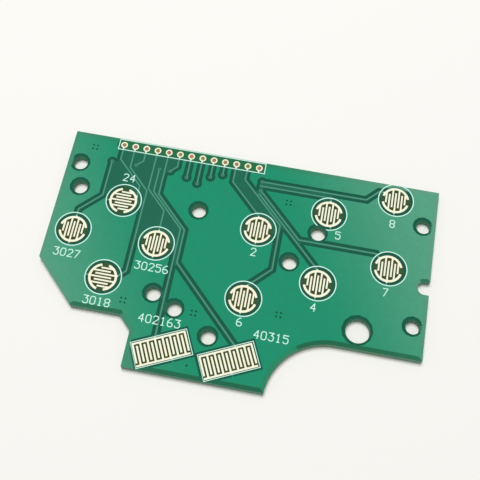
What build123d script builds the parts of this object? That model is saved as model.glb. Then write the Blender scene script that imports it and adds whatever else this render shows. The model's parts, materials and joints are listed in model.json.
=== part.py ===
from build123d import *
from math import cos, pi, radians, sin, sqrt, tan
import os

# A bare two-layer circuit board for a pocket game controller.
# Twelve bare contact patterns sit under rubber buttons, and a row of thirteen plated holes
# takes a pin header. The board lies flat, face up: +X runs along the header row, +Y towards
# the header edge, +Z out of the face. The origin is the middle of the underside's box.
# The plan is laid out from the first header hole and moved to the origin in plate().

# The header's pitch, which is also the grid that the board's length and its copper follow
pin_pitch = 2.54

# Board
board_length = 32 * pin_pitch
board_width = 50.25
board_thickness = 1.6
corner_cut = 9.1            # 45 degree cut at the lower left corner, measured along each edge
left_step = 10.5            # lower edge of the left wing to the tongue's lower edge
right_step = 12.2           # lower edge of the right wing to the tongue's lower edge
inner_cut = 2.9             # 45 degree cut where the left wing meets the tongue
router_radius = 1.0         # the router's radius, left in the inside corners
arc_radius = 12.7           # round cut-out for the speaker
arc_gap = 2.38              # from the end of the right comb to the cut-out's left-hand side
notch_radius = 1.45
notch_depth = 2.5
notch_from_top = 22.5

# Header row
pin_count = 13
pin1_from_left = 0.1378 * board_length
pin1_from_top = 1.45
pin_hole_radius = 0.5
pin_pad_radius = 0.8
spoke_length = 1.9          # from the last header hole out into the ground foil

# Copper
copper = 0.035
track_width = 0.3
clearance = 0.75
edge_clearance = 0.9
hole_clearance = 0.62
via_radius = 0.15
via_pad_radius = 0.33
pad_sides = 10              # the header pads and holes are drawn as polygons
via_sides = 6
clearance_sides = 12        # as the photo shows round the drilled holes

# Round contacts: two facing arcs with fingers that mesh
contact_radius = 3.0
arc_band = 0.5
arc_opening = 30            # degrees between the ends of the two arcs
finger_width = 0.36
finger_pitch = 0.675
finger_gap = 0.7            # from a finger's tip to the arc across
stub_width = 0.3
stub_overlap = 0.3          # how far a ground stub runs into the foil

# Long contacts: two combs
comb_length = 11.1
comb_height = 5.05
comb_angle = 25
comb_bar = 0.4
comb_pitch = 0.764
comb_finger = 0.4
comb_fingers = 7
comb_gap = 1.33             # between the two combs, measured along them
comb_from_bottom = 5.0
comb_to_edge = 1.54         # from the end of the left comb to the side of the tongue

# Drilled holes
post_radius = 1.55
screw_radius = 1.5
guide_radius = 2.55
drill_shift = (0.15, -0.15)  # the drilling lies this far off the copper, as on the real board

left = -pin1_from_left
right = left + board_length
top = pin1_from_top
bottom = top - board_width
left_foot = bottom + left_step
right_foot = bottom + right_step
left_depth = top - left_foot
right_depth = top - right_foot
center = ((left + right) / 2, (top + bottom) / 2)

start_comb = (left + 0.5309 * board_length, bottom + comb_from_bottom)
arc_center = (start_comb[0] + comb_length / 2 + arc_gap + arc_radius, right_foot - arc_radius)
comb_spacing = (comb_length + comb_gap) / cos(radians(comb_angle))
select_comb = (start_comb[0] - comb_spacing, start_comb[1])
tongue_left = select_comb[0] - comb_length / 2 - comb_to_edge
notch_center = (right - notch_depth + notch_radius, top - notch_from_top)

pins = [(i * pin_pitch, 0) for i in range(pin_count)]
pin_names = ["up", "down", "left", "right", "start", "select", "a", "b", "x", "y", "l", "r"]


def spread(shares, depth):
    """Places given as shares: of the length from the left, and of a wing's depth from the top."""
    return {name: (left + u * board_length, top - v * depth) for name, (u, v) in shares.items()}


# Contact middles
left_contacts = {
    "up": (0.1744, 0.3721),
    "left": (0.0648, 0.5859),
    "right": (0.2870, 0.5847),
    "down": (0.1745, 0.8214),
}
right_contacts = {
    "l": (0.5406, 0.4218),
    "r": (0.5367, 0.8371),
    "x": (0.7171, 0.2515),
    "y": (0.8868, 0.0949),
    "a": (0.8899, 0.5164),
    "b": (0.7159, 0.6752),
}
contacts = {**spread(left_contacts, left_depth), **spread(right_contacts, right_depth)}
sideways = ("up", "down")   # these two patterns are turned a quarter

# Drilled holes: posts of the shell, two screws and the guide
left_posts = {
    1: (0.0327, 0.1887),
    2: (0.0507, 0.3321),
    3: (0.3763, 0.3517),
    4: (0.3093, 0.8569),
    5: (0.3706, 0.9182),
    6: (0.4685, 1.0312),
}
right_posts = {7: (0.6353, 0.5784), 8: (0.6962, 0.3795)}
screw_holes = {1: (0.9662, 0.2271), 2: (0.9662, 0.8197)}
guide_hole = {1: (0.8321, 0.8959)}
posts = {**spread(left_posts, left_depth), **spread(right_posts, right_depth)}
holes = [(p, post_radius) for p in posts.values()]
holes += [(p, screw_radius) for p in spread(screw_holes, right_depth).values()]
holes += [(p, guide_radius) for p in spread(guide_hole, right_depth).values()]

# Signal vias, in rows that the straight links on the underside join
via_step = 1.33             # sideways from a header hole's column to its via
via_drop = 4.45
via_past_row = 1.22         # from the last header hole to the column of the right-hand vias
via_row = -3.2
via_row_pitch = 1.05
left_via_far = 1.7          # left of the first header hole
select_via_far = 3.77       # left of the sixth header hole

# Tracks on the face: the first straight drop, the lane of the longer ones, and where each
# one meets its contact, as an angle round it or a distance along its comb
drops = {"up": 3.6, "down": 5.2, "left": 8.4, "right": 9.5, "start": 10.4, "select": 5.5}
drops.update({"l": 4.4, "r": 3.4})
lane_down = left + 0.2294 * board_length
lane_start = left + 0.3518 * board_length
lane_r = left + 0.5959 * board_length
entry = {"up": 14, "down": 10, "left": 90, "right": 90, "l": 97, "r": 88}
entry.update({"x": 90, "y": 147, "a": 135, "b": 97})
comb_entry = {"start": 2.2, "select": -0.82}
y_run = 6.2                 # from the level stretch's end to the middle of its contact
a_rise = 0.96

# Ground: a point in each island of foil, the contacts it carries, and where their stubs leave
left_islands = {
    "left": (0.0615, 0.0792),
    "middle": (0.4219, 0.9245),
    "tip": (0.4330, 1.1987),
}
right_islands = {
    "right": (0.6322, 0.8896),
    "upper": (0.6076, 0.2247),
    "header": (0.6298, 0.0644),
}
islands = {**spread(left_islands, left_depth), **spread(right_islands, right_depth)}
members = {
    "left": ("up", "left", "down", "right"),
    "right": ("l", "r", "x", "y", "a", "b", "start"),
    "tip": ("select",),
}
stub_angle = {"up": 187, "down": 180, "x": 285}
comb_stub = {"start": 0.1, "select": 1.7}


def drilled(point):
    return point[0] + drill_shift[0], point[1] + drill_shift[1]


def strip(points, width):
    """A band of one width along a line of points, with mitred corners and square ends."""
    path = [Vector(*p) for i, p in enumerate(points) if i == 0 or p != points[i - 1]]
    legs = [(b - a).normalized() for a, b in zip(path, path[1:])]
    one_side, other_side = [], []
    for i, p in enumerate(path):
        before, after = legs[max(i - 1, 0)], legs[min(i, len(legs) - 1)]
        normal = Vector(-before.Y - after.Y, before.X + after.X).normalized()
        reach = width / 2 / normal.dot(Vector(-before.Y, before.X))
        one_side.append(p + normal * reach)
        other_side.append(p - normal * reach)
    return make_face(Polyline(*one_side, *reversed(other_side), close=True))


def disc(point, radius):
    return Pos(*point) * Circle(radius)


def ngon(point, radius, sides):
    """A polygon whose sides touch a circle of the radius."""
    return Pos(*point) * RegularPolygon(radius / cos(pi / sides), sides)


def drop(start, first, end):
    """Straight down by first, at 45 degrees across to the end's column, and down to the end."""
    (x, y), (end_x, end_y) = start, end
    first = min(first, y - end_y - abs(end_x - x))
    low = y - first - abs(end_x - x)
    return [start, (x, y - first), (end_x, low), end]


def around(name, radius, angle):
    """A point at an angle round a contact's middle."""
    x, y = contacts[name]
    return x + radius * cos(radians(angle)), y + radius * sin(radians(angle))


def rim(name, angle):
    """A point on the middle of a round contact's arc."""
    return around(name, contact_radius - arc_band / 2, angle)


def on_comb(name, along, across):
    middle = start_comb if name == "start" else select_comb
    c, s = cos(radians(comb_angle)), sin(radians(comb_angle))
    return middle[0] + along * c - across * s, middle[1] + along * s + across * c


def outline(inset=0.0):
    """The board's edge, or a line inside it by the inset."""
    slant = inset * tan(pi / 8)
    radius = arc_radius + inset
    low = bottom + inset
    meet = arc_center[0] - sqrt(radius**2 - (low - arc_center[1]) ** 2)
    shoulder = (arc_center[0], right_foot + inset)
    before = Polyline(
        (right - inset, top - inset),
        (left + inset, top - inset),
        (left + inset, left_foot + corner_cut + slant),
        (left + corner_cut + slant, left_foot + inset),
        (tongue_left - inner_cut + slant, left_foot + inset),
        (tongue_left + inset, left_foot - inner_cut + slant),
        (tongue_left + inset, low),
        (meet, low),
    )
    curve = RadiusArc((meet, low), shoulder, radius)
    after = Polyline(shoulder, (right - inset, right_foot + inset), (right - inset, top - inset))
    return make_face([*before.edges(), curve, *after.edges()])


def notch(radius):
    slot = disc(notch_center, radius)
    reach = right - notch_center[0] + notch_radius
    return slot + Pos(notch_center[0] + reach / 2, notch_center[1]) * Rectangle(reach, 2 * radius)


def round_half(fingers, angle):
    """One arc of a round contact and its fingers, about the origin."""
    inner = contact_radius - arc_band
    sweep = 180 - arc_opening
    outside = CenterArc((0, 0), contact_radius, arc_opening / 2, sweep)
    inside = CenterArc((0, 0), inner, arc_opening / 2, sweep)
    ends = [Line(outside @ k, inside @ k) for k in (0, 1)]
    half = make_face([outside, ends[1], inside, ends[0]])
    for place in fingers:
        x = place * finger_pitch
        root = sqrt((contact_radius - arc_band / 2) ** 2 - x**2)
        tip = finger_gap - sqrt(inner**2 - x**2)
        half += Pos(x, (root + tip) / 2) * Rectangle(finger_width, root - tip)
    return Rot(0, 0, angle) * half


def round_contact(name):
    """The signal half with four fingers and the ground half with three."""
    turn = -90 if name in sideways else 0
    signal = round_half((-3, -1, 1, 3), turn)
    ground = round_half((-2, 0, 2), turn + 180)
    place = Pos(*contacts[name])
    return place * signal, place * ground


def comb_contact(name):
    """The signal comb, which reaches round three sides, and the ground comb below it."""
    gap = comb_pitch - comb_finger
    bar_y = (comb_height - comb_bar) / 2
    finger = comb_height - comb_bar - gap
    rising = [comb_pitch * (2 * i - comb_fingers + 1) for i in range(comb_fingers)]
    hanging = [x + comb_pitch for x in rising[:-1]]
    side = (comb_length / 2 + rising[-1] + comb_finger / 2 + gap) / 2
    side_width = 2 * (comb_length / 2 - side)
    bar = Rectangle(comb_length, comb_bar)
    signal = Pos(0, bar_y) * bar
    ground = Pos(0, -bar_y) * bar
    shift = (comb_bar + gap) / 2
    for x in hanging:
        signal += Pos(x, shift) * Rectangle(comb_finger, finger)
    for x in (-side, side):
        signal += Pos(x, shift) * Rectangle(side_width, finger)
    for x in rising:
        ground += Pos(x, -shift) * Rectangle(comb_finger, finger)
    place = Pos(*on_comb(name, 0, 0)) * Rot(0, 0, comb_angle)
    return place * signal, place * ground


def plate(sketch, low, thickness):
    shift = Pos(-center[0], -center[1], low)
    return [shift * extrude(face, thickness) for face in sketch.faces()]


def write(name, solids, color):
    group = solids[0] if len(solids) == 1 else Compound(children=list(solids))
    group.label = name
    group.color = Color(color)
    export_step(group, f"parts/{name}.step")


def top_tracks():
    """The centre lines of the tracks on the face, by the name of the signal."""
    lines = {}
    bar_y = (comb_height - comb_bar) / 2
    for name in ("up", "right", "l"):
        pin = pins[pin_names.index(name)]
        lines[name] = [drop(pin, drops[name], rim(name, entry[name]))]
    for name, lane in (("down", lane_down), ("r", lane_r), ("start", lane_start)):
        pin = pins[pin_names.index(name)]
        on_start = name == "start"
        end = on_comb(name, comb_entry[name], bar_y) if on_start else rim(name, entry[name])
        turn = (lane, end[1] + abs(lane - end[0]))
        lines[name] = [drop(pin, drops[name], turn) + [end]]
    ends = {
        "left": (left_via, rim("left", entry["left"])),
        "select": (select_via, on_comb("select", comb_entry["select"], bar_y)),
    }
    for name, (via, end) in ends.items():
        pin = pins[pin_names.index(name)]
        first = [pin, (pin[0], via[1] + via_step), (pin[0] - via_step, via[1])]
        lines[name] = [first, drop(via, drops[name], end)]
    for name, via in right_vias.items():
        pin = pins[pin_names.index(name)]
        lines[name] = [[pin, (pin[0], via[1])]]
    via, end = right_vias["y"], rim("y", entry["y"])
    run = contacts["y"][0] - y_run
    lines["y"].append([via, (run, via[1]), (run + end[1] - via[1], end[1]), end])
    via, end = right_vias["x"], rim("x", entry["x"])
    lines["x"].append([via, (end[0], via[1]), end])
    via, end = right_vias["a"], rim("a", entry["a"])
    level = end[1] + a_rise
    lines["a"].append([via, (via[0] + via[1] - level, level), (end[0] - a_rise, level), end])
    via, end = right_vias["b"], rim("b", entry["b"])
    turn = max(via[0], end[0] - via[1] + end[1])
    lines["b"].append([via, (turn, via[1]), (end[0], via[1] - end[0] + turn), end])
    return lines


def ground_stub(name):
    """A short bridge from a contact's ground half across the gap to the foil."""
    if name in comb_stub:
        edge = comb_height / 2
        along = comb_stub[name]
        far = edge + clearance + stub_overlap
        line = [on_comb(name, along, comb_bar / 2 - edge), on_comb(name, along, -far)]
    else:
        angle = stub_angle.get(name, 270)
        far = contact_radius + clearance + stub_overlap
        line = [rim(name, angle), around(name, far, angle)]
    return strip(line, stub_width)


os.makedirs("parts", exist_ok=True)

core_height = board_thickness - 2 * copper
face_low = board_thickness - copper

left_via = (pins[0][0] - left_via_far, -via_drop)
select_via = (pins[5][0] - select_via_far, -via_drop)
via_column = pins[-1][0] + via_past_row
right_vias = {name: (via_column, via_row - i * via_row_pitch) for i, name in enumerate("yxab")}
tracks = top_tracks()
links = {name: (tracks[name][0][-1], tracks[name][1][0]) for name in ("left", "select", *"yxab")}
vias = [p for pair in links.values() for p in pair]
bores = [ngon(p, pin_hole_radius, pad_sides) for p in pins]

# Laminate
core = outline()
inside_corners = [
    v
    for v in core.vertices()
    if abs(v.Y - left_foot) < 0.01 and abs(v.X - tongue_left + inner_cut) < 0.01
    or abs(v.X - tongue_left) < 0.01 and abs(v.Y - left_foot + inner_cut) < 0.01
]
core = fillet(inside_corners, router_radius)
core -= notch(notch_radius)
core -= [disc(drilled(p), r) for p, r in holes]
core -= bores
core -= [ngon(p, via_radius, via_sides) for p in vias]
write("laminate", plate(core, copper, core_height), "#9aa86a")

# Signal copper on the face: header pad, track, via pads and the contact's signal half
signals = {name: round_contact(name) for name in contacts}
signals.update({name: comb_contact(name) for name in comb_stub})
for name, lines in tracks.items():
    place = pin_names.index(name)
    foil = Sketch() + [strip(line, track_width) for line in lines]
    foil += [ngon(p, via_pad_radius, via_sides) for p in links.get(name, ())]
    foil += ngon(pins[place], pin_pad_radius, pad_sides)
    foil += signals[name][0]
    foil -= bores[place]
    write("track_" + name, plate(foil, face_low, copper), "#d9a25a")

# Ground copper on the face: what the clearances leave, in islands
field = outline(edge_clearance) - notch(notch_radius + hole_clearance)
field -= [ngon(p, r + hole_clearance, clearance_sides) for p, r in holes]
field -= [ngon(p, contact_radius + clearance, clearance_sides) for p in contacts.values()]
comb_box = Rectangle(comb_length + 2 * clearance, comb_height + 2 * clearance)
field -= [Pos(*on_comb(name, 0, 0)) * Rot(0, 0, comb_angle) * comb_box for name in comb_stub]
field -= [ngon(p, pin_pad_radius + clearance, pad_sides) for p in pins]
field -= [ngon(p, via_pad_radius + clearance, pad_sides) for p in vias]
channel = track_width + 2 * clearance
field -= [strip(line, channel) for lines in tracks.values() for line in lines]
for island, seed in islands.items():
    foil = Sketch() + field.faces().sort_by_distance(seed)[0]
    for name in members.get(island, ()):
        foil += signals[name][1]
        foil += ground_stub(name)
    if island == "header":
        x, y = pins[-1]
        foil += ngon(pins[-1], pin_pad_radius, pad_sides)
        foil += strip([(x, y), (x + spoke_length, y)], track_width)
        foil += strip([(x, y), (x, y - spoke_length)], track_width)
        foil -= bores[-1]
    write("ground_" + island, plate(foil, face_low, copper), "#c98f4a")

# Plated barrels of the signal vias, and the links that join them on the underside
barrels = [solid for p in vias for solid in plate(ngon(p, via_radius, via_sides), copper, core_height)]
write("signal_vias", barrels, "#b87333")
for name, (a, b) in links.items():
    link = strip([a, b], track_width) + [ngon(p, via_pad_radius, via_sides) for p in (a, b)]
    write("link_" + name, plate(link, 0, copper), "#d9a25a")
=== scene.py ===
import json
from math import cos, pi, radians, sin, sqrt

import bpy
import numpy as np
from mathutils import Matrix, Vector
from mathutils.geometry import delaunay_2d_cdt


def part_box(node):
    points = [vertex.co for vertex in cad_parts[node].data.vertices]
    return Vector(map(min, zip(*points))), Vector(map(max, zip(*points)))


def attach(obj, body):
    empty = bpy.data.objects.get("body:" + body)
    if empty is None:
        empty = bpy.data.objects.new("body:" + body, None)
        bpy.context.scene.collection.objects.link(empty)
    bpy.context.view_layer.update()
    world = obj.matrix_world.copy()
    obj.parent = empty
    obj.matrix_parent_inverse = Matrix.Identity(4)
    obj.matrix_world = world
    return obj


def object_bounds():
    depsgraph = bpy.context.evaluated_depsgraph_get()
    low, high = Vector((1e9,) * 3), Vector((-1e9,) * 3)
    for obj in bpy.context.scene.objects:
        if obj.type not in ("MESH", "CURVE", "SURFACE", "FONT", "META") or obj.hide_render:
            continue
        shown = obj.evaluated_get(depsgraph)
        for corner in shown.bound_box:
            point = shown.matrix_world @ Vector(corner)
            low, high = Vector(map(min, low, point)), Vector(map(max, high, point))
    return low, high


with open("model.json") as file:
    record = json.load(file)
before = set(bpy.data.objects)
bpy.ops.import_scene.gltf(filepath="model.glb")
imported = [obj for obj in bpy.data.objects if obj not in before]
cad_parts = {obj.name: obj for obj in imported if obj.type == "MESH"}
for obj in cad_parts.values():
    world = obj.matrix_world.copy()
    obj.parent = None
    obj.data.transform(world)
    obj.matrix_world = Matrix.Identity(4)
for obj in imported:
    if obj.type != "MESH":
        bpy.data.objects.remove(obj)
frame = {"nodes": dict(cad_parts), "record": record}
cad_box = [list(corner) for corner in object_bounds()]

# The solder mask, the printed marks, the plated sleeves and the copper of the hidden side are
# built here over the CAD board. Plans are drawn in millimetres from the first header hole, as
# on the drawing of the board, and moved to the row frame by ORIGIN.
MM = 1000.0
ORIGIN = (29.44, -23.675)

# Levels of the layers, read from the CAD board
LINK_LOW, FOIL_TOP = [round(corner[2] * MM, 3) for corner in cad_box]
CORE_LOW, CORE_TOP = [round(corner[2] * MM, 3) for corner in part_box("laminate")]

# Thicknesses of the mask and the print
MASK_ON_FOIL = 0.012
MASK_ON_CORE = 0.040
PRINT = 0.012

# The border of the board that carries no foil
MARGIN = 0.9

# How many straight sides stand for a circle
PIN_SIDES = 32
GAP_SIDES = 24
CONTACT_SIDES = 60
RING_SIDES = 72
SPOT_SIDES = 12

# Header row, with the mask's windows over its pads and the short stubs below them
PIN_PITCH = 2.54
PIN_COUNT = 13
PINS = [(i * PIN_PITCH, 0.0) for i in range(PIN_COUNT)]
HEADER_MIDDLE = PINS[PIN_COUNT // 2]
HEADER_LENGTH = PIN_COUNT * PIN_PITCH
BORE_RADIUS = 0.5
SLEEVE_RADIUS = 0.46
PAD_RADIUS = 0.8
PAD_WINDOW = 0.75
BACK_WINDOW = 1.0
STUB_WINDOW = 0.3
STUB_DROP = 0.87

# Round contacts, each of two arcs with a bridge of mask between their ends on both sides. The
# turned ones have their arcs left and right, the others above and below.
CONTACTS = {
    "up": (2.98, -13.34),
    "left": (-5.93, -21.84),
    "right": (12.13, -21.79),
    "down": (2.99, -31.2),
    "l": (32.75, -14.6),
    "r": (32.43, -30.4),
    "x": (47.1, -8.12),
    "y": (60.9, -2.16),
    "a": (61.15, -18.2),
    "b": (47.0, -24.24),
}
TURNED = ("up", "down")
CONTACT_WINDOW = 3.15
BRIDGE_REACH = 2.8
BRIDGE_WIDTH = 1.1
BRIDGE_DEPTH = 0.82

# Comb contacts, with the length and height of the mask's window over each
COMBS = {"select": (18.24, -43.8), "start": (31.95, -43.8)}
COMB_ANGLE = 25.0
COMB_WINDOW = (11.3, 5.25)

# Stitching vias in groups of four, and one alone on the tongue
STITCH_GROUPS = ((-6.2, -1.7), (38.2, -7.1), (8.3, -35.3), (23.1, -35.3), (40.2, -32.4))
STITCH_REACH = 0.45
STITCHES = [
    (x + dx, y + dy)
    for x, y in STITCH_GROUPS
    for dx in (-STITCH_REACH, STITCH_REACH)
    for dy in (-STITCH_REACH, STITCH_REACH)
]
STITCHES.append((24.0, -46.2))
STITCH_RADIUS = 0.21
VIA_RADIUS = 0.16

# Areas in square millimetres. A hole of the laminate above the first is drilled for the shell,
# one below the second is a via, and the header holes lie between.
DRILL_AREA = 5.0
VIA_AREA = 0.2

# Print: its offset from the copper, and the outer and inner sizes of rings, frames and box
PRINT_SHIFT = (0.09, 0.05)
RING_RADII = (3.91, 3.69)
COMB_FRAMES = ((11.72, 5.68), (11.4, 5.36))
BOX_GROWTHS = (0.1, -0.3)

# The print keeps clear of the post hole beside contact x: middle and radius
PRINT_FREE = ((45.53, -13.14), 1.93)

# The strip along the header where the mask looks darker and greener, a painted backlight of light
# shining up through the laminate, which no copper backs there. Its middle in Y, length and height
STRIP_LEVEL = 0.12
STRIP_LENGTH = HEADER_LENGTH - 0.1
STRIP_HEIGHT = 2.7

# The corner of the tongue where the mask looks as it does along the edge, with the edge's painted
# glow
TONGUE_CORNER = [(11.1, -42.7), (11.1, -48.9), (13.84, -48.9), (11.44, -43.7)]

# A side of the outline faces south where it runs more than this share of its length in +X. The
# margin along it gets painted shade, the rest of the margin a painted glow.
SOUTH_RUN = 0.8

# The mask over bare laminate is darker near the ground foil. Its points carry their distance from
# that foil, called room, and a grid of points is added to carry it: half the size and the step of
# the grid, the most room that is told, the room given to the whole hidden side, and the rooms
# between which the colour turns.
GRID_REACH = (41, 25.3)
GRID_STEP = 0.45
ROOM_MOST = 2.0
ROOM_BACK = 0.6
ROOM_FROM, ROOM_TO = 0.35, 0.95

# Hidden side: clearances of the ground foil, and the spokes that join it to the last pin
BACK_CLEARANCE = 0.5
HOLE_CLEARANCE = 0.62
SPOKES = ((3.0, 0.3), (0.3, 2.6))

# Plain numbers stand where the board names its buttons: text, middle
NUMBERS = {
    "up": ("24", (3.0, -7.8)),
    "left": ("3027", (-5.8, -27.3)),
    "down": ("3018", (3.0, -36.5)),
    "right": ("30256", (12.4, -27.2)),
    "select": ("402163", (16.6, -38.2)),
    "start": ("40315", (39.5, -37.3)),
    "l": ("2", (32.7, -19.8)),
    "r": ("6", (32.6, -35.4)),
    "x": ("5", (49.7, -12.7)),
    "y": ("8", (60.8, -7.8)),
    "a": ("7", (61.1, -23.5)),
    "b": ("4", (46.9, -29.5)),
}

# Strokes of the digits, as dots on a grid of columns and rows
DIGITS = {
    "0": "05 01 10 30 41 45 36 16 05",
    "1": "15 26 20|10 30",
    "2": "05 16 36 45 44 00 40",
    "3": "06 46 24 34 43 41 30 10 01",
    "4": "30 36 02 42",
    "5": "46 06 04 34 43 41 30 10 01",
    "6": "36 26 04 01 10 30 41 42 33 03",
    "7": "06 46 10",
    "8": "13 04 05 16 36 45 44 33 13 02 01 10 30 41 42 33",
}
DIGIT_COLUMNS = 4
DIGIT_ROWS = 6
DIGIT_HEIGHT = 1.65
DIGIT_WIDTH = 1.0
DIGIT_ADVANCE = 1.5
STROKE = 0.2

# Tolerances: flatness of a CAD face, nearness of points, the least height of a film's side, the
# least square of a side's length, and the most distance that is told
FLAT = 0.003
NEAR = 1e-5
LEAST_SIDE = 1e-4
TINY = 1e-12
FAR = 9.0

# Decimal places to which points and levels are matched
POINT_PLACES = 4
LEVEL_PLACES = 5

# The least that a mitre may narrow, so that a sharp corner doesn't run away
LEAST_MITRE = 0.3

# Grain of the materials: the range of the noise that counts, and how much wider than deep it is
NOISE_DETAIL = 3.0
GRAIN = (0.3, 0.7)
GRAIN_FLATNESS = 10
GLOSS_CHANGE = 0.08

# Glass cloth and its layers on a cut side: pitches in metres, and the height of the threads
# against that of the grain
WEAVE_PITCH = 0.00055
LAYER_PITCH = 0.0002
WEAVE_HEIGHT = 0.15
WAVE_BEND = 1.2

# How far up a normal points where a cut side ends, and where a face begins
CUT_TO_FACE = (0.4, 0.6)

# The mask turns paler away from the middle of the board, between these distances in metres: a
# painted reflection of the pale room towards the ends, with the dark camera mirrored in the middle.
# The distance is measured in X, with a share of Y added.
REFLECTION_FROM, REFLECTION_TO = 0.014, 0.052
REFLECTION_SLANT = 0.5

# Sockets of Blender's Mix node that carry colours
COLOR_A = 6
COLOR_B = 7
COLOR_RESULT = 2

# Looks of the mask, as numbers of its materials. Some are painted light: the tracks' highlight, the
# header's backlight, and the margin's glow and its shade along the south.
GROUND, TRACK, BARE, HEADER_BACKLIGHT, PLUG, EDGE_GLOW, SOUTH_EDGE_SHADE, BETWEEN_ARCS = range(8)

# Looks of a sleeve: its plated rims, and the wall of its bore
RIM, WALL = range(2)

# Floor, light and camera, in metres and degrees. The colour of the light is linear, and those of
# floor and backdrop are in 0 to 255.
FLOOR_COLOR = (253, 251, 247)
FLOOR_REACH = 0.4
FLOOR_LEVEL = -0.00002
LIGHT_COLOR = (1.0, 0.995, 0.985, 1.0)
LIGHT_STRENGTH = 0.33
BACKDROP_COLOR = (252, 250, 245)
LAMP_PLACE = (-0.12, 0.26, 1.08)
LAMP_SIZE = 0.6
LAMP_ENERGY = 8.8
CAMERA_PLACE = (0.00973, -0.05707, 0.15574)
CAMERA_TURN = (22.487, -0.761, 10.601)
CAMERA_LENS = 59.02
CAMERA_SENSOR = 36.0
CAMERA_CLIP = (0.01, 10.0)


# Outlines

def row(points):
    """Points of the drawing, moved to the row frame."""
    return [(x - ORIGIN[0], y - ORIGIN[1]) for x, y in points]


def circle(middle, radius, sides=48):
    """A round loop of straight sides."""
    turns = [2 * pi * i / sides for i in range(sides)]
    return row([(middle[0] + radius * cos(turn), middle[1] + radius * sin(turn)) for turn in turns])


def rectangle(middle, length, height, angle=0.0):
    """A rectangular loop, turned by an angle in degrees."""
    cosine, sine = cos(radians(angle)), sin(radians(angle))
    corners = [(i * length / 2, j * height / 2) for i, j in ((-1, -1), (1, -1), (1, 1), (-1, 1))]
    return row([
        (middle[0] + x * cosine - y * sine, middle[1] + x * sine + y * cosine) for x, y in corners
    ])


def capsule(start, end, width, steps=4):
    """A stroke with round ends."""
    length = sqrt((end[0] - start[0]) ** 2 + (end[1] - start[1]) ** 2)
    ux, uy = (end[0] - start[0]) / length, (end[1] - start[1]) / length
    points = []
    for (x, y), side in ((end, 1), (start, -1)):
        for i in range(steps + 1):
            turn = pi * (i / steps - 0.5)
            along, across = cos(turn) * side, sin(turn) * side
            dx = width / 2 * (along * ux - across * uy)
            dy = width / 2 * (along * uy + across * ux)
            points.append((x + dx, y + dy))
    return row(points)


def number_strokes(text, middle):
    """The strokes of a number centred on a point."""
    strokes = []
    start = middle[0] - (DIGIT_ADVANCE * (len(text) - 1) + DIGIT_WIDTH) / 2
    for place, digit in enumerate(text):
        left = start + place * DIGIT_ADVANCE
        for line in DIGITS[digit].split("|"):
            dots = []
            for column, level in line.split():
                x = left + int(column) / DIGIT_COLUMNS * DIGIT_WIDTH
                y = middle[1] + (int(level) / DIGIT_ROWS - 0.5) * DIGIT_HEIGHT
                dots.append((x, y))
            strokes += [capsule(a, b, STROKE) for a, b in zip(dots, dots[1:])]
    return strokes


def area(loop):
    """The area of a loop, below zero where it runs clockwise, as round a hole."""
    x, y = np.array(loop).T
    return 0.5 * float(np.sum(x * np.roll(y, -1) - np.roll(x, -1) * y))


def offset(loop, inset):
    """A loop moved inwards by a distance, with mitred corners."""
    ring = np.array(loop)
    legs = np.roll(ring, -1, 0) - ring
    legs /= np.linalg.norm(legs, axis=1)[:, None]
    normals = np.stack([-legs[:, 1], legs[:, 0]], 1)
    both = np.roll(normals, 1, 0) + normals
    both /= np.linalg.norm(both, axis=1)[:, None]
    reach = inset / np.clip((both * normals).sum(1), LEAST_MITRE, 1)
    return [tuple(point) for point in ring + both * reach[:, None]]


def grown(loop, growth):
    """A round loop grown about its middle."""
    ring = np.array(loop)
    middle = ring.mean(0)
    legs = ring - middle
    size = np.linalg.norm(legs, axis=1)[:, None]
    return [tuple(point) for point in middle + legs * (1 + growth / size)]


def box_round(loop, gap):
    """The upright rectangle round a loop, with a gap on all sides."""
    ring = np.array(loop)
    (x0, y0), (x1, y1) = ring.min(0) - gap, ring.max(0) + gap
    return [(x0, y0), (x1, y0), (x1, y1), (x0, y1)]


# Outlines of the CAD board

def loops_at(node, height):
    """The closed outlines of a node's flat faces at a height, in millimetres."""
    mesh = frame["nodes"][node].data
    points = [(v.co.x * MM, v.co.y * MM) for v in mesh.vertices]
    spots = [(round(x, POINT_PLACES), round(y, POINT_PLACES)) for x, y in points]
    flat = [abs(v.co.z * MM - height) < FLAT for v in mesh.vertices]
    sides = set()
    for face in mesh.polygons:
        if all(flat[i] for i in face.vertices):
            ring = [spots[i] for i in face.vertices]
            sides.update((a, b) for a, b in zip(ring, ring[1:] + ring[:1]) if a != b)
    follow = {}
    for a, b in sides:
        if (b, a) not in sides:
            follow.setdefault(a, []).append(b)
    loops = []
    while follow:
        first = next(iter(follow))
        loop, spot = [first], first
        while True:
            after = follow[spot].pop()
            if not follow[spot]:
                del follow[spot]
            if after == first or after not in follow:
                break
            loop.append(after)
            spot = after
        loops.append(loop)
    return loops


def loops_of_kind(kind, height):
    """The outlines at a height of all nodes whose names start with a word."""
    nodes = [node for node in frame["nodes"] if node.startswith(kind)]
    return [loop for node in nodes for loop in loops_at(node, height)]


# Tests of many points at once

def inside(points, loop):
    """Which points lie inside a loop."""
    x, y = points[:, 0], points[:, 1]
    result = np.zeros(len(points), bool)
    ring = np.array(loop)
    low, high = ring.min(0), ring.max(0)
    near = (x > low[0]) & (x < high[0]) & (y > low[1]) & (y < high[1])
    if not near.any():
        return result
    px, py = x[near], y[near]
    hit = np.zeros(len(px), bool)
    for (ax, ay), (bx, by) in zip(loop, loop[1:] + loop[:1]):
        if ay == by:
            continue
        crosses = (ay > py) != (by > py)
        hit ^= crosses & (px < (bx - ax) * (py - ay) / (by - ay) + ax)
    result[near] = hit
    return result


def covered(points, loops):
    """Which points lie inside the outer loops and outside the loops of the holes."""
    count = np.zeros(len(points), int)
    for loop in loops:
        sign = 1 if area(loop) > 0 else -1
        count += sign * inside(points, loop)
    return count > 0


def any_of(points, loops):
    """Which points lie inside at least one of the loops."""
    result = np.zeros(len(points), bool)
    for loop in loops:
        result |= inside(points, loop)
    return result


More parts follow.
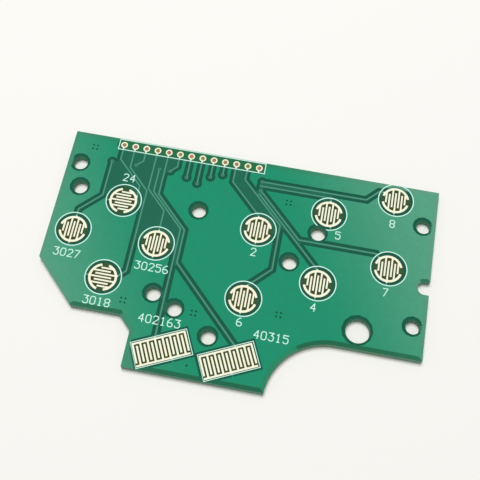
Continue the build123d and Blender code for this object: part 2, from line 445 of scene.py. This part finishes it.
def distance(points, loops):
    """The distance from each point to the nearest side of the loops, and that side's run in X."""
    best, run = np.full(len(points), FAR), np.zeros(len(points))
    for loop in loops:
        for a, b in zip(loop, loop[1:] + loop[:1]):
            a, b = np.array(a), np.array(b)
            leg = b - a
            share = np.clip(((points - a) @ leg) / max(leg @ leg, TINY), 0, 1)
            gap = np.linalg.norm(points - a - share[:, None] * leg, axis=1)
            run[gap < best] = leg[0] / np.linalg.norm(leg)
            best = np.minimum(best, gap)
    return best, run


# Meshes

class Plan:
    """A triangulated plan in which the sides of every loop that was drawn are kept."""

    def __init__(self, loops, extra=()):
        spots, index, sides = [], {}, set()
        for loop in loops:
            ids = []
            for point in loop:
                key = (round(point[0], POINT_PLACES), round(point[1], POINT_PLACES))
                if key not in index:
                    index[key] = len(spots)
                    spots.append(key)
                ids.append(index[key])
            sides.update((a, b) for a, b in zip(ids, ids[1:] + ids[:1]) if a != b)
        spots += [tuple(point) for point in extra]
        found = delaunay_2d_cdt([Vector(spot) for spot in spots], list(sides), [], 0, NEAR)
        self.points = np.array([(v.x, v.y) for v in found[0]])
        self.triangles = np.array([face for face in found[2] if len(face) == 3])
        corners = self.points[self.triangles]
        self.middles = corners.mean(1)
        turn = np.cross(corners[:, 1] - corners[:, 0], corners[:, 2] - corners[:, 0])
        self.triangles[turn < 0] = self.triangles[turn < 0][:, ::-1]


def add_object(name, vertices, faces, materials, looks=None):
    """A new object with its materials, and the number of a material for each face."""
    mesh = bpy.data.meshes.new(name)
    mesh.from_pydata(vertices, [], faces)
    for material in materials:
        mesh.materials.append(material)
    if looks is not None:
        mesh.polygons.foreach_set("material_index", looks)
    mesh.update()
    thing = bpy.data.objects.new(name, mesh)
    bpy.context.scene.collection.objects.link(thing)
    return thing


def film(name, plan, low, high, looks, materials, room=None):
    """A closed film on a plan: each triangle is a cell from its low to its high level.

    A triangle whose high level isn't a number is left out.
    """
    vertices, index, faces, face_looks = [], {}, [], []

    def corner(i, z):
        """The number of the vertex at a point of the plan and a level, made at need."""
        key = (i, round(z, LEVEL_PLACES))
        if key not in index:
            index[key] = len(vertices)
            vertices.append((plan.points[i][0] / MM, plan.points[i][1] / MM, z / MM))
        return index[key]

    kept = np.flatnonzero(~np.isnan(high))
    owner = {}
    for cell in kept:
        a, b, c = plan.triangles[cell]
        for side in ((a, b), (b, c), (c, a)):
            owner[side] = cell
    for cell in kept:
        ids = plan.triangles[cell]
        faces.append([corner(i, high[cell]) for i in ids])
        faces.append([corner(i, low[cell]) for i in reversed(ids)])
        face_looks += [looks[cell], looks[cell]]
        for a, b in zip(ids, np.roll(ids, -1)):
            other = owner.get((b, a))
            if other is None:
                spans = [(low[cell], high[cell])]
            else:
                spans = [(high[other], high[cell]), (low[cell], low[other])]
            for z0, z1 in spans:
                if z1 - z0 > LEAST_SIDE:
                    faces.append([corner(a, z0), corner(b, z0), corner(b, z1), corner(a, z1)])
                    face_looks.append(looks[cell])
    thing = add_object(name, vertices, faces, materials, face_looks)
    if room is not None:
        layer = thing.data.attributes.new("room", "FLOAT", "POINT")
        layer.data.foreach_set("value", [room[i] for i, z in index])
    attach(thing, "root")
    return thing


# Node helpers

def linear(color):
    """The linear colour of a colour given in 0 to 255."""
    values = [c / 255 for c in color]
    return [c / 12.92 if c <= 0.04045 else ((c + 0.055) / 1.055) ** 2.4 for c in values] + [1.0]


def feed(tree, socket, value):
    """Links a socket to another one, or sets it to a number or colour."""
    if isinstance(value, bpy.types.NodeSocket):
        tree.links.new(value, socket)
    else:
        socket.default_value = value


def calculate(tree, operation, *values):
    """The result of a Math node, as a socket."""
    node = tree.nodes.new("ShaderNodeMath")
    node.operation = operation
    for socket, value in zip(node.inputs, values):
        feed(tree, socket, value)
    return node.outputs[0]


def mix(tree, factor, first, second, blend="MIX"):
    """A colour made of two, as a socket."""
    node = tree.nodes.new("ShaderNodeMix")
    node.data_type = "RGBA"
    node.blend_type = blend
    feed(tree, node.inputs["Factor"], factor)
    feed(tree, node.inputs[COLOR_A], first)
    feed(tree, node.inputs[COLOR_B], second)
    return node.outputs[COLOR_RESULT]


def ramp(tree, value, low, high, start=0.0, end=1.0):
    """A value between two limits, turned smoothly into one between a start and an end."""
    node = tree.nodes.new("ShaderNodeMapRange")
    node.interpolation_type = "SMOOTHSTEP"
    node.inputs["From Min"].default_value = low
    node.inputs["From Max"].default_value = high
    node.inputs["To Min"].default_value = start
    node.inputs["To Max"].default_value = end
    tree.links.new(value, node.inputs["Value"])
    return node.outputs["Result"]


def speckle(tree, size):
    """Cloudy noise with spots of a size in metres."""
    place = tree.nodes.new("ShaderNodeTexCoord")
    noise = tree.nodes.new("ShaderNodeTexNoise")
    noise.inputs["Scale"].default_value = 1.0 / size
    noise.inputs["Detail"].default_value = NOISE_DETAIL
    tree.links.new(place.outputs["Object"], noise.inputs["Vector"])
    return noise.outputs["Fac"]


def bands(tree, direction, pitch):
    """Soft bands at a pitch in metres, a little bent.

    At a scale of one the wave texture turns 20 radians in a unit of length.
    """
    place = tree.nodes.new("ShaderNodeTexCoord")
    wave = tree.nodes.new("ShaderNodeTexWave")
    wave.bands_direction = direction
    wave.inputs["Scale"].default_value = 2 * pi / (20 * pitch)
    wave.inputs["Distortion"].default_value = WAVE_BEND
    tree.links.new(place.outputs["Object"], wave.inputs["Vector"])
    return wave.outputs["Fac"]


def geometry(tree, output):
    """The X, Y and Z sockets of a position or normal."""
    place = tree.nodes.new("ShaderNodeNewGeometry")
    split = tree.nodes.new("ShaderNodeSeparateXYZ")
    tree.links.new(place.outputs[output], split.inputs[0])
    return split.outputs


# Materials, with colours in 0 to 255

def finish(name, color, roughness=0.5, specular=0.02):
    """A plain material, to be painted or weathered."""
    material = bpy.data.materials.new(name)
    material.use_nodes = True
    shader = material.node_tree.nodes["Principled BSDF"]
    shader.inputs["Base Color"].default_value = linear(color)
    shader.inputs["Roughness"].default_value = roughness
    shader.inputs["Specular IOR Level"].default_value = specular
    return material


def paint(material, color):
    """Takes the base colour of a material from a socket."""
    tree = material.node_tree
    tree.links.new(color, tree.nodes["Principled BSDF"].inputs["Base Color"])


def weather(material, size, tone, relief, woven=False):
    """Gives a material its grain: small changes of tone, gloss and height, over cloth if woven."""
    tree = material.node_tree
    shader = tree.nodes["Principled BSDF"]
    height = speckle(tree, size)
    if woven:
        cloth = calculate(
            tree, "MULTIPLY", bands(tree, "X", WEAVE_PITCH), bands(tree, "Y", WEAVE_PITCH)
        )
        threads = ramp(tree, cloth, 0.0, 1.0, -WEAVE_HEIGHT, WEAVE_HEIGHT)
        height = calculate(tree, "ADD", height, threads)

    base = shader.inputs["Base Color"]
    plain = base.links[0].from_socket if base.is_linked else base.default_value
    shade = ramp(tree, height, *GRAIN, 1 - tone, 1 + tone)
    paint(material, mix(tree, 1.0, plain, shade, "MULTIPLY"))

    rough = shader.inputs["Roughness"]
    level = rough.default_value
    gloss = ramp(tree, height, *GRAIN, level - GLOSS_CHANGE, level + GLOSS_CHANGE)
    tree.links.new(gloss, rough)

    bump = tree.nodes.new("ShaderNodeBump")
    bump.inputs["Strength"].default_value = relief
    bump.inputs["Distance"].default_value = size / GRAIN_FLATNESS
    tree.links.new(height, bump.inputs["Height"])
    tree.links.new(bump.outputs["Normal"], shader.inputs["Normal"])


def mask(name, middle, ends):
    """Solder mask that turns paler towards the lower left and upper right ends of the board, as
    painted reflection.
    """
    material = finish(name, middle)
    tree = material.node_tree
    place = geometry(tree, "Position")
    slanted = calculate(tree, "MULTIPLY_ADD", place["Y"], REFLECTION_SLANT, place["X"])
    outwards = ramp(tree, calculate(tree, "ABSOLUTE", slanted), REFLECTION_FROM, REFLECTION_TO)
    # The paler ends are a painted reflection of the room, laid into the base colour
    paint(material, mix(tree, outwards, linear(middle), linear(ends)))
    return material


def mask_on_laminate(near, far):
    """Solder mask over bare laminate, darker close to the ground foil."""
    material = finish("mask_over_laminate", far)
    tree = material.node_tree
    room = tree.nodes.new("ShaderNodeAttribute")
    room.attribute_name = "room"
    outwards = ramp(tree, room.outputs["Fac"], ROOM_FROM, ROOM_TO)
    paint(material, mix(tree, outwards, linear(near), linear(far)))
    return material


def patched(name, plain, first, second, size, limits, roughness):
    """Plating that changes between two colours in patches of a size in metres.

    The limits are the noise values between which one colour turns into the other. The plain
    colour is the one that the shader itself holds, under the nodes.
    """
    material = finish(name, plain, roughness)
    tree = material.node_tree
    patches = ramp(tree, speckle(tree, size), *limits)
    paint(material, mix(tree, patches, linear(first), linear(second)))
    return material


def glass_laminate(face, light, dark):
    """Glass-epoxy laminate, with layers in two colours on its cut sides."""
    material = finish("laminate", face, roughness=0.6)
    tree = material.node_tree
    flatness = calculate(tree, "ABSOLUTE", geometry(tree, "Normal")["Z"])
    layers = mix(tree, bands(tree, "Z", LAYER_PITCH), linear(dark), linear(light))
    paint(material, mix(tree, ramp(tree, flatness, *CUT_TO_FACE), layers, linear(face)))
    return material


# The ends colour of each mask made by mask() is its painted reflection
mask_ground = mask("mask_over_ground", middle=(34, 145, 110), ends=(90, 164, 134))
# Over a track the mask is partly its own paler colour over copper, and paler still with a painted
# highlight on the track's raised edges
mask_track_painted_highlight = mask("mask_over_track_painted_highlight", middle=(82, 152, 127), ends=(95, 160, 135))
# Painted backlight: the vivid green of light coming up through the laminate along the header
mask_header_painted_backlight = finish("mask_at_header_painted_backlight", (42, 112, 74))
mask_thin = finish("mask_between_arcs", (58, 90, 60))
mask_plug = finish("mask_in_via", (15, 75, 50))
# Painted light along the margin: a glow of light entering at the cut edge, and a darker, shaded
# copy where the edge faces south
mask_margin_painted_glow = mask("mask_at_edge_painted_glow", middle=(46, 136, 100), ends=(98, 160, 135))
mask_south_painted_shade = mask("mask_at_south_edge_painted_shade", middle=(38, 106, 78), ends=(52, 120, 92))
mask_bare = mask_on_laminate(near=(26, 91, 71), far=(36, 107, 85))
print_white = finish("print_white", (213, 254, 240), roughness=0.6)
plating = patched(
    "contact_plating",
    plain=(252, 253, 229),
    first=(250, 255, 230),
    second=(255, 250, 222),
    size=0.004,
    limits=(0.35, 0.65),
    roughness=0.35,
)
copper = finish("copper", (190, 110, 80), roughness=0.4)
bore_wall = patched(
    "plated_bore",
    plain=(250, 236, 205),
    first=(236, 240, 186),
    second=(255, 226, 208),
    size=0.003,
    limits=(0.42, 0.58),
    roughness=0.4,
)
laminate = glass_laminate(face=(66, 76, 42), light=(124, 168, 142), dark=(104, 148, 122))

# The grain of each material: its size in metres, and how strong its tone and relief are
for material in (mask_ground, mask_track_painted_highlight, mask_header_painted_backlight, mask_plug, mask_margin_painted_glow, mask_south_painted_shade):
    weather(material, size=0.0012, tone=0.03, relief=0.10)
weather(mask_bare, size=0.0012, tone=0.05, relief=0.15, woven=True)
weather(mask_thin, size=0.0006, tone=0.06, relief=0.15, woven=True)
weather(laminate, size=0.0006, tone=0.08, relief=0.25, woven=True)
weather(print_white, size=0.0003, tone=0.03, relief=0.20)
weather(plating, size=0.0003, tone=0.02, relief=0.12)
weather(copper, size=0.0004, tone=0.06, relief=0.15)
weather(bore_wall, size=0.0004, tone=0.06, relief=0.15)

# The materials of the mask, in the order of its looks
mask_looks = [mask_ground, mask_track_painted_highlight, mask_bare, mask_header_painted_backlight]
mask_looks += [mask_plug, mask_margin_painted_glow, mask_south_painted_shade, mask_thin]


def paint_nodes():
    """Gives each CAD node the material of its slot."""
    slots = {"laminate": laminate, "contact_plating": plating, "copper": copper}
    slot_of = {part["node"]: part["material_slot"] for part in frame["record"]["subparts"]}
    for name, node in frame["nodes"].items():
        node.data.materials.clear()
        node.data.materials.append(slots[slot_of[name]])


# What is drawn, in loops

def mask_openings():
    """Where the mask opens over the pads, the round contacts and the combs."""
    loops = [circle(pin, PAD_WINDOW, PIN_SIDES) for pin in PINS]
    loops += [rectangle((x, y - STUB_DROP), STUB_WINDOW, STUB_WINDOW) for x, y in PINS]
    loops += [circle(spot, CONTACT_WINDOW, CONTACT_SIDES) for spot in CONTACTS.values()]
    loops += [rectangle(spot, *COMB_WINDOW, COMB_ANGLE) for spot in COMBS.values()]
    return loops


def mask_bridges():
    """The two places between the arcs of each round contact where the mask stays."""
    loops = []
    for name, (x, y) in CONTACTS.items():
        for side in (-BRIDGE_REACH, BRIDGE_REACH):
            if name in TURNED:
                loops.append(rectangle((x, y + side), BRIDGE_WIDTH, BRIDGE_DEPTH))
            else:
                loops.append(rectangle((x + side, y), BRIDGE_DEPTH, BRIDGE_WIDTH))
    return loops


def printed(middle):
    """Where the print puts a mark that belongs to a point of the copper."""
    return middle[0] + PRINT_SHIFT[0], middle[1] + PRINT_SHIFT[1]


def print_outlines():
    """The outer and the inner outline of each printed ring, frame and box."""
    pairs = {}
    for name, spot in CONTACTS.items():
        pairs["ring_" + name] = [circle(printed(spot), radius, RING_SIDES) for radius in RING_RADII]
    for name, spot in COMBS.items():
        pairs["frame_" + name] = [
            rectangle(printed(spot), *size, COMB_ANGLE) for size in COMB_FRAMES
        ]
    pairs["header_box"] = [
        rectangle(printed(HEADER_MIDDLE), HEADER_LENGTH + growth, PIN_PITCH + growth)
        for growth in BOX_GROWTHS
    ]
    return pairs


def via_spots():
    """Round spots over the signal vias, whose holes are the smallest in the laminate."""
    middles = [tuple(np.mean(loop, 0)) for loop in core if -VIA_AREA < area(loop) < 0]
    return [circle((x + ORIGIN[0], y + ORIGIN[1]), VIA_RADIUS, SPOT_SIDES) for x, y in middles]


def bare_grid():
    """A grid of points over the mask where no foil lies under it."""
    steps_x = np.arange(-GRID_REACH[0], GRID_REACH[0], GRID_STEP)
    steps_y = np.arange(-GRID_REACH[1], GRID_REACH[1], GRID_STEP)
    grid = np.array([(x, y) for x in steps_x for y in steps_y])
    grid = grid[covered(grid, core) & ~covered(grid, grounds) & ~covered(grid, signals)]
    return grid[~any_of(grid, openings)]


# What is drawn on both faces
core = loops_at("laminate", CORE_TOP)
edge = max(core, key=area)
drills = [loop for loop in core if area(loop) < -DRILL_AREA]
plugs = [circle(spot, STITCH_RADIUS, SPOT_SIDES) for spot in STITCHES]

# What is drawn on the face
grounds = loops_of_kind("ground_", FOIL_TOP)
signals = loops_of_kind("track_", FOIL_TOP)
openings = mask_openings()
bridges = mask_bridges()
centres = via_spots()
strip = rectangle((printed(HEADER_MIDDLE)[0], STRIP_LEVEL), STRIP_LENGTH, STRIP_HEIGHT)
tongue_corner = row(TONGUE_CORNER)
outlines = print_outlines()
strokes = {"number_" + name: number_strokes(*value) for name, value in NUMBERS.items()}

# What is drawn on the hidden side
back_edge = offset(edge, MARGIN)
links = loops_of_kind("link_", LINK_LOW)
links = [loop if area(loop) > 0 else loop[::-1] for loop in links]
pads = [circle(pin, PAD_RADIUS, PIN_SIDES) for pin in PINS]
bores = [circle(pin, BORE_RADIUS, PIN_SIDES) for pin in PINS]
windows = bores + [circle(pin, BACK_WINDOW, PIN_SIDES) for pin in PINS]
spokes = [rectangle(PINS[-1], *size) for size in SPOKES]
gaps = [box_round(loop, BACK_CLEARANCE) for loop in links]
gaps += [grown(loop[::-1], HOLE_CLEARANCE) for loop in drills]
gaps += [circle(pin, PAD_RADIUS + BACK_CLEARANCE, GAP_SIDES) for pin in PINS]


# Mask and print on the face

def plan_face():
    """The plan of the face, with every outline that the mask or the print follows."""
    drawn = [edge] + drills + grounds + signals + openings + bridges + plugs + centres
    drawn += [strip, tongue_corner]
    for group in (outlines, strokes):
        for loops in group.values():
            drawn += loops
    return Plan(drawn, bare_grid())


def face_looks(at, on_ground, on_signal):
    """The look of the mask at points of the face. A later line goes over an earlier one."""
    to_edge, run = distance(at, [edge])
    looks = np.full(len(at), BARE)
    # The margin takes a painted glow, and painted shade where its side faces south
    looks[to_edge < MARGIN] = EDGE_GLOW
    looks[(to_edge < MARGIN) & (run > SOUTH_RUN)] = SOUTH_EDGE_SHADE
    looks[inside(at, tongue_corner)] = EDGE_GLOW
    looks[any_of(at, bridges)] = BETWEEN_ARCS
    # Mask over the tracks takes the painted highlight colour
    looks[on_signal] = TRACK
    looks[on_ground] = GROUND
    # Along the header the mask takes the painted backlight colour
    looks[inside(at, strip)] = HEADER_BACKLIGHT
    looks[any_of(at, plugs) & on_ground] = PLUG
    looks[any_of(at, centres)] = PLUG
    return looks


def add_print(face, masked, mask_top):
    """The rings, frames, box and numbers, each a film on the mask."""
    at = face.middles
    marks = {}
    for name, (outer, inner) in outlines.items():
        marks[name] = inside(at, outer) & ~inside(at, inner)
    for name, loops in strokes.items():
        marks[name] = any_of(at, loops)
    printable = masked & ~inside(at, circle(*PRINT_FREE))
    for name, marked in marks.items():
        top = np.where(marked & printable, mask_top + PRINT, np.nan)
        mark = film(name, face, mask_top, top, np.zeros(len(at), int), [print_white])


def dress_face():
    """The mask over the face, and the print on it."""
    face = plan_face()
    at = face.middles
    on_board = inside(at, edge) & ~any_of(at, drills)
    masked = on_board & (~any_of(at, openings) | any_of(at, bridges))
    on_ground = covered(at, grounds)
    on_signal = covered(at, signals)
    on_foil = on_ground | on_signal
    low = np.where(on_foil, FOIL_TOP, CORE_TOP)
    high = np.where(on_foil, FOIL_TOP + MASK_ON_FOIL, CORE_TOP + MASK_ON_CORE)
    high[~masked] = np.nan
    looks = face_looks(at, on_ground, on_signal)
    room = np.minimum(distance(face.points, grounds)[0], ROOM_MOST)
    mask_face = film("mask_face", face, low, high, looks, mask_looks, room)
    add_print(face, masked, high)


# Ground foil and mask on the hidden side

def back_ground(at):
    """Which points of the hidden side lie on its ground foil."""
    ground = inside(at, back_edge) & ~any_of(at, gaps)
    ground |= any_of(at, spokes) & inside(at, back_edge)
    return ground & ~any_of(at, pads) & ~any_of(at, bores)


def dress_back():
    """The ground foil of the hidden side, and the mask over it and the links."""
    back = Plan([edge, back_edge] + drills + links + gaps + pads + windows + spokes + plugs)
    at = back.middles
    ground = back_ground(at)
    low = np.full(len(at), LINK_LOW)
    high = np.where(ground, CORE_LOW, np.nan)
    foil = film("ground_back", back, low, high, np.zeros(len(at), int), [plating])

    on_link = any_of(at, links)
    on_foil = ground | on_link
    masked = inside(at, edge) & ~any_of(at, drills) & ~any_of(at, windows)
    low = np.where(on_foil, LINK_LOW - MASK_ON_FOIL, CORE_LOW - MASK_ON_CORE)
    high = np.where(on_foil, LINK_LOW, CORE_LOW)
    high[~masked] = np.nan
    # The links take the tracks' painted highlight colour
    looks = np.where(on_link, TRACK, np.where(ground, GROUND, BARE))
    looks[any_of(at, plugs) & ground] = PLUG
    room = np.full(len(back.points), ROOM_BACK)
    mask_back = film("mask_back", back, low, high, looks, mask_looks, room)


# Header holes

def add_sleeve(name, middle):
    """The plated sleeve of a header hole with its pad on the hidden side."""
    profile = [
        (SLEEVE_RADIUS, FOIL_TOP),
        (BORE_RADIUS, FOIL_TOP),
        (BORE_RADIUS, CORE_LOW),
        (PAD_RADIUS, CORE_LOW),
        (PAD_RADIUS, LINK_LOW),
        (SLEEVE_RADIUS, LINK_LOW),
    ]
    rings = [circle(middle, radius, PIN_SIDES) for radius, z in profile]
    levels = [z for radius, z in profile]
    count = len(profile)
    vertices, faces, looks = [], [], []
    for i in range(PIN_SIDES):
        vertices += [(ring[i][0] / MM, ring[i][1] / MM, z / MM) for ring, z in zip(rings, levels)]
        here, there = i * count, (i + 1) % PIN_SIDES * count
        for k in range(count):
            after = (k + 1) % count
            faces.append((here + k, there + k, there + after, here + after))
            looks.append(WALL if after == 0 else RIM)
    sleeve = add_object(name, vertices, faces, [plating, bore_wall], looks)
    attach(sleeve, "root")


# Floor, light and camera

def add_floor():
    """The plain pale floor, just under the board."""
    white = finish("floor_white", FLOOR_COLOR, roughness=0.9, specular=0.0)
    signs = ((-1, -1), (1, -1), (1, 1), (-1, 1))
    corners = [(i * FLOOR_REACH, j * FLOOR_REACH, FLOOR_LEVEL) for i, j in signs]
    floor = add_object("floor", corners, [(0, 1, 2, 3)], [white])


def add_world():
    """Soft light from all sides, and a pale backdrop for what is seen straight or mirrored."""
    world = bpy.data.worlds.new("soft_room")
    bpy.context.scene.world = world
    world.use_nodes = True
    tree = world.node_tree
    soft_light = tree.nodes["Background"]
    soft_light.inputs["Color"].default_value = LIGHT_COLOR
    soft_light.inputs["Strength"].default_value = LIGHT_STRENGTH
    backdrop = tree.nodes.new("ShaderNodeBackground")
    backdrop.inputs["Color"].default_value = linear(BACKDROP_COLOR)
    path = tree.nodes.new("ShaderNodeLightPath")
    seen = calculate(tree, "MAXIMUM", path.outputs["Is Camera Ray"], path.outputs["Is Glossy Ray"])
    seen = calculate(tree, "MAXIMUM", seen, path.outputs["Is Transmission Ray"])
    choose = tree.nodes.new("ShaderNodeMixShader")
    tree.links.new(seen, choose.inputs[0])
    tree.links.new(soft_light.outputs[0], choose.inputs[1])
    tree.links.new(backdrop.outputs[0], choose.inputs[2])
    tree.links.new(choose.outputs[0], tree.nodes["World Output"].inputs["Surface"])


def add_window():
    """A wide lamp high above, behind and to the left of the board."""
    light = bpy.data.lights.new("window", "AREA")
    light.shape = "DISK"
    light.size = LAMP_SIZE
    light.energy = LAMP_ENERGY
    window = bpy.data.objects.new("window", light)
    window.location = LAMP_PLACE
    window.rotation_euler = (-window.location).to_track_quat("-Z", "Y").to_euler()
    bpy.context.scene.collection.objects.link(window)


def add_camera():
    """The camera at the photograph's angle."""
    lens = bpy.data.cameras.new("camera")
    lens.sensor_width = CAMERA_SENSOR
    lens.lens = CAMERA_LENS
    lens.clip_start, lens.clip_end = CAMERA_CLIP
    camera = bpy.data.objects.new("camera", lens)
    camera.location = CAMERA_PLACE
    camera.rotation_euler = [radians(turn) for turn in CAMERA_TURN]
    bpy.context.scene.collection.objects.link(camera)
    bpy.context.scene.camera = camera


paint_nodes()
dress_face()
dress_back()
for number, pin in enumerate(PINS, 1):
    add_sleeve(f"sleeve_{number}", pin)

add_floor()
add_world()
add_window()
add_camera()
bpy.context.scene.view_settings.view_transform = "Standard"
